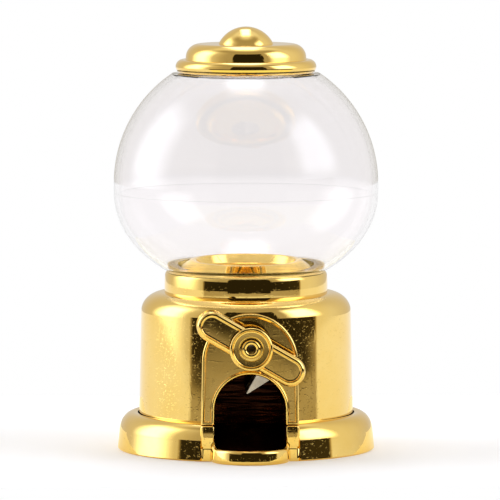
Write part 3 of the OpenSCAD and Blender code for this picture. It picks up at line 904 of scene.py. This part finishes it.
def make_camera():
    """A long lens a little above the object and slightly to its left."""
    data = bpy.data.cameras.new("camera")
    data.lens = CAMERA_LENS
    data.sensor_width = 36
    data.clip_start = 0.1
    data.clip_end = 10
    camera = bpy.data.objects.new("camera", data)
    bpy.context.scene.collection.objects.link(camera)
    side, rise = radians(CAMERA_SIDE), radians(CAMERA_RISE)
    away = Vector((sin(side) * cos(rise), -cos(side) * cos(rise), sin(rise)))
    camera.location = (Vector(CAMERA_TARGET) + away * CAMERA_DISTANCE) * MM
    camera.rotation_euler = (-away).to_track_quat("-Z", "Y").to_euler()
    bpy.context.scene.camera = camera


def make_floor():
    """A thin sheet of pale paper, shorter in front so that it stays out of the plating's reflections."""
    edge = rounded([(-FLOOR_W, -FLOOR_FRONT, 20), (FLOOR_W, -FLOOR_FRONT, 20), (FLOOR_W, FLOOR_BACK, 20),
                    (-FLOOR_W, FLOOR_BACK, 20)])
    solid = loft([[(x, y, z) for x, y in edge] for z in (0, -0.02)])
    moved(solid, Matrix.Scale(MM, 4))
    mesh = bpy.data.meshes.new("floor")
    solid.to_mesh(mesh)
    solid.free()
    mesh.materials.append(floor_paper("floor_paper"))
    floor = bpy.data.objects.new("floor", mesh)
    bpy.context.scene.collection.objects.link(floor)


def band(nodes, value, low, high, soft):
    """1 between two limits and 0 outside them, with soft edges."""
    rise = nodes.ramp(value, low - soft, low + soft)
    fall = nodes.ramp(value, high - soft, high + soft, 1.0, 0.0)
    return nodes.math("MULTIPLY", rise, fall)


class Studio:
    """What stands in each direction from the object. Angles are in degrees, and azimuth 0 is the front."""

    def __init__(self, nodes):
        """Works out the azimuth and height of a direction, and whether it is in front."""
        self.nodes = nodes
        split = nodes.add("ShaderNodeSeparateXYZ")
        nodes.put(split.inputs[0], nodes.add("ShaderNodeTexCoord").outputs["Generated"])
        self.x, self.y, self.z = split.outputs
        to_degrees = 180 / pi
        forward = nodes.math("MULTIPLY", self.y, -1.0)
        self.azimuth = nodes.math("MULTIPLY", nodes.math("ARCTAN2", self.x, forward), to_degrees)
        self.height = nodes.math("MULTIPLY", nodes.math("ARCSINE", self.z), to_degrees)
        self.turned = nodes.math("ABSOLUTE", self.azimuth)
        self.ahead = nodes.math("MULTIPLY", nodes.ramp(self.azimuth, -67, -62),
                                nodes.ramp(self.azimuth, 78, 83, 1.0, 0.0))

    def patch(self, left, right, side_soft, bottom, top, end_soft):
        """1 in a soft-edged rectangle of the room and 0 outside it."""
        across = band(self.nodes, self.azimuth, left, right, side_soft)
        return self.nodes.math("MULTIPLY", across, band(self.nodes, self.height, bottom, top, end_soft))

    def room(self):
        """Walls that are dim in front, and a ceiling."""
        nodes = self.nodes
        walls = nodes.math("ADD", nodes.ramp(self.turned, 38, 88, 0.46, 0.87),
                           nodes.ramp(self.turned, 92, 150, 0.0, -0.18))
        ceiling = nodes.math("ADD", nodes.ramp(self.height, 64, 84, 0.42, 0.95),
                             nodes.ramp(self.turned, 75, 130, 0.0, 0.5))
        return nodes.blend(nodes.ramp(self.height, 47, 62), walls, ceiling)

    def softboxes(self):
        """A large softbox on the left and a smaller one on the right."""
        left = self.patch(-118, -82, 13, -2, 45, 10)
        right = self.patch(50, 86, 9, 8, 49, 8)
        return self.nodes.math("MAXIMUM", left, right)

    def ceiling_strip(self):
        """A strip light overhead, running away from the camera."""
        nodes = self.nodes
        rise = nodes.math("MAXIMUM", self.z, 0.05)
        across = band(nodes, nodes.math("DIVIDE", self.x, rise), -0.18, 0.18, 0.08)
        along = band(nodes, nodes.math("DIVIDE", self.y, rise), 0.05, 0.95, 0.2)
        return nodes.math("MULTIPLY", across, along)

    def table(self):
        """The table round the object, darker towards its front edge."""
        return self.nodes.blend(self.ahead, 1.0, self.nodes.ramp(self.height, -10.0, -7.0, 1.1, 0.44))

    def flags(self):
        """A dark block round the camera, and a dark slit at the table's edge."""
        nodes = self.nodes
        slit = nodes.math("MULTIPLY", self.ahead, band(nodes, self.height, -4.0, 4.5, 0.2))
        return nodes.math("MAXIMUM", slit, self.patch(-28, 33, 1, -5.72, 47, 0.25))

    def tint(self, level, dark, path):
        """The light's colour: warm where it is dim or comes off the table, and cool where it is strong."""
        nodes = self.nodes
        shade = nodes.mix(nodes.ramp(level, 0.45, 0.95), (1.0, 0.9, 0.72, 1), WHITE)
        shade = nodes.mix(nodes.ramp(level, 1.0, 3.0), shade, (1.0, 1.03, 1.15, 1))
        low_front = nodes.math("MULTIPLY", self.ahead, nodes.ramp(self.height, -12, -8, 1.0, 0.0))
        mirrored = nodes.math("MULTIPLY", low_front, nodes.mirrored_only(path))
        shade = nodes.mix(mirrored, shade, (1.05, 1.0, 0.5, 1))
        return nodes.mix(dark, shade, (1.0, 0.8, 0.4, 1))


def make_world():
    """The studio for everything that reflects, white behind the object, even light through the globe."""
    world = bpy.data.worlds.new("studio")
    bpy.context.scene.world = world
    world.use_nodes = True
    nodes = Nodes(world.node_tree)
    studio = Studio(nodes)
    level = nodes.math("MULTIPLY_ADD", studio.softboxes(), 2.3, studio.room())
    level = nodes.math("MULTIPLY_ADD", studio.ceiling_strip(), 2.4, level)
    level = nodes.blend(nodes.ramp(studio.height, -4.2, -3.8), studio.table(), level)
    dark = studio.flags()
    level = nodes.math("MULTIPLY", level, nodes.math("MULTIPLY_ADD", dark, -0.95, 1.0))

    path = nodes.add("ShaderNodeLightPath")
    through = nodes.math("MULTIPLY", path.outputs["Is Transmission Ray"], 0.885)
    plain = nodes.math("MAXIMUM", path.outputs["Is Camera Ray"], through)
    background = nodes.add("ShaderNodeBackground")
    nodes.put(background.inputs["Color"], nodes.mix(plain, studio.tint(level, dark, path), WHITE))
    nodes.put(background.inputs["Strength"], nodes.math("MAXIMUM", level, plain))
    output = nodes.add("ShaderNodeOutputWorld")
    nodes.put(output.inputs["Surface"], background.outputs["Background"])


def set_look():
    """Plain colours, with no film curve."""
    scene = bpy.context.scene
    scene.view_settings.view_transform = "Standard"
    scene.view_settings.look = "None"


lid_shell()
lid_knob()
lid_liner()
globe_upper()
globe_lower()
neck_collar()
hopper()
body_shell()
front_bezel()
shaft_bush()
base_ring()
dispensing_tray()
turn_handle()
handle_rivet()
dispensing_wheel()
finish_cad_nodes()
make_camera()
make_floor()
make_world()
set_look()
